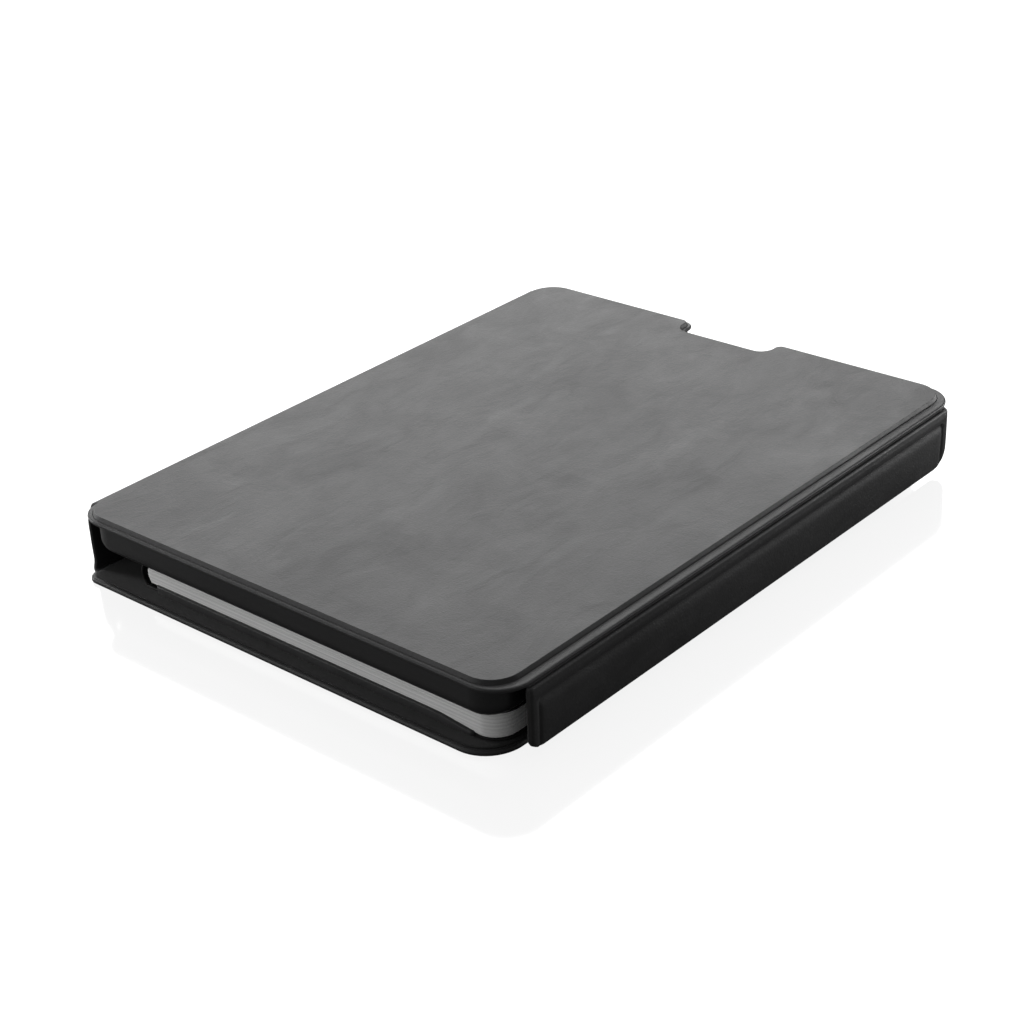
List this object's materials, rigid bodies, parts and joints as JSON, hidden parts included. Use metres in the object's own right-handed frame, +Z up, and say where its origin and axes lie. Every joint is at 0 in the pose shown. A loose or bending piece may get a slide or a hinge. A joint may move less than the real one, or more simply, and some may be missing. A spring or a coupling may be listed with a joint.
{
  "type": "wireless charging pad",
  "caption": "Closed leatherette notebook folio whose thick front cover is a flat wireless charger, with a side flap, spine wall, page block and a notch for the socket and key.",
  "frame": {"origin": "on the table, under the middle of the closed folio", "axes": "+Z up from the table, +Y along the long side towards the notched short end, +X towards the closing flap"},
  "size_m": [0.171, 0.215, 0.0243],
  "materials": {
    "leatherette": "fine-grained matte synthetic leather",
    "lining": "matte suede-like lining",
    "greyboard": "matte pressed greyboard",
    "foam": "matte thin foam",
    "housing": "soft-touch moulded plastic",
    "magnet": "nickel-plated",
    "book_cloth": "fine bookbinding cloth",
    "paper": "uncoated off-white paper",
    "screw_steel": "zinc-plated",
    "copper": "enamelled copper wire",
    "ferrite": "dark sintered ferrite sheet",
    "lead_sleeve": "silicone wire sleeve",
    "cell_pouch": "satin laminated foil",
    "tape": "double-sided tape",
    "plug_plastic": "natural nylon",
    "board_laminate": "solder-masked glass-fibre laminate",
    "chip_black": "moulded epoxy",
    "inductor": "pressed ferrite",
    "capacitor": "ceramic",
    "socket_metal": "drawn stainless steel",
    "light_guide": "clear moulded plastic",
    "lamp": "lamp package",
    "switch_metal": "pressed steel"
  },
  "bodies": {
    "base": {"base_outer_skin": "leatherette", "base_board": "greyboard", "base_lining": "lining", "base_magnets": "magnet", "pocket_sleeve": "leatherette", "notebook_back_cover": "book_cloth", "notebook_spine": "book_cloth", "page_block": "paper"},
    "spine": {"spine_outer_skin": "leatherette", "spine_board": "greyboard", "spine_lining": "lining"},
    "cover": {"cover_outer_skin": "leatherette", "cover_board": "greyboard", "foam_pad": "foam", "charger_tray": "housing", "charger_deck": "housing", "deck_screws": "screw_steel", "board_screws": "screw_steel", "transmitter_coil": "copper", "ferrite_sheet": "ferrite", "coil_leads": "lead_sleeve", "battery_cell": "cell_pouch", "battery_tape": "tape", "battery_leads": "lead_sleeve", "battery_plug": "plug_plastic", "circuit_board": "board_laminate", "controller_chips": "chip_black", "switching_chips": "chip_black", "power_inductors": "inductor", "tuning_capacitors": "capacitor", "usb_c_shell": "socket_metal", "usb_c_tongue": "chip_black", "light_guides": "light_guide", "status_lights": "lamp", "tact_switch": "switch_metal"},
    "flap": {"flap_outer_skin": "leatherette", "flap_board": "greyboard", "flap_lining": "lining", "flap_magnets": "magnet"},
    "book_front": {"notebook_front_cover": "book_cloth"},
    "power_key": {"power_button": "housing"}
  },
  "joints": [
    {"name": "back_fold", "type": "hinge", "parent": "base", "child": "spine", "pos_m": [-0.0847, 0, 0.0016], "axis": [0, -1, 0], "range_deg": [0, 90]},
    {"name": "cover_fold", "type": "hinge", "parent": "spine", "child": "cover", "pos_m": [-0.0847, 0, 0.0227], "axis": [0, -1, 0], "range_deg": [0, 90]},
    {"name": "flap_fold", "type": "hinge", "parent": "cover", "child": "flap", "pos_m": [0.0845, 0, 0.0223], "axis": [0, -1, 0], "range_deg": [0, 180]},
    {"name": "book_front_fold", "type": "hinge", "parent": "base", "child": "book_front", "pos_m": [-0.0632, 0, 0.01055], "axis": [0, -1, 0], "range_deg": [0, 90]},
    {"name": "power_key_slide", "type": "slide", "parent": "cover", "child": "power_key", "axis": [0, -1, 0], "range_m": [0, 0.0005], "stiffness_N_per_m": 200}
  ],
  "couplings": [
    {"joint": "book_front_fold", "follows": "cover_fold", "ratio": 1}
  ]
}
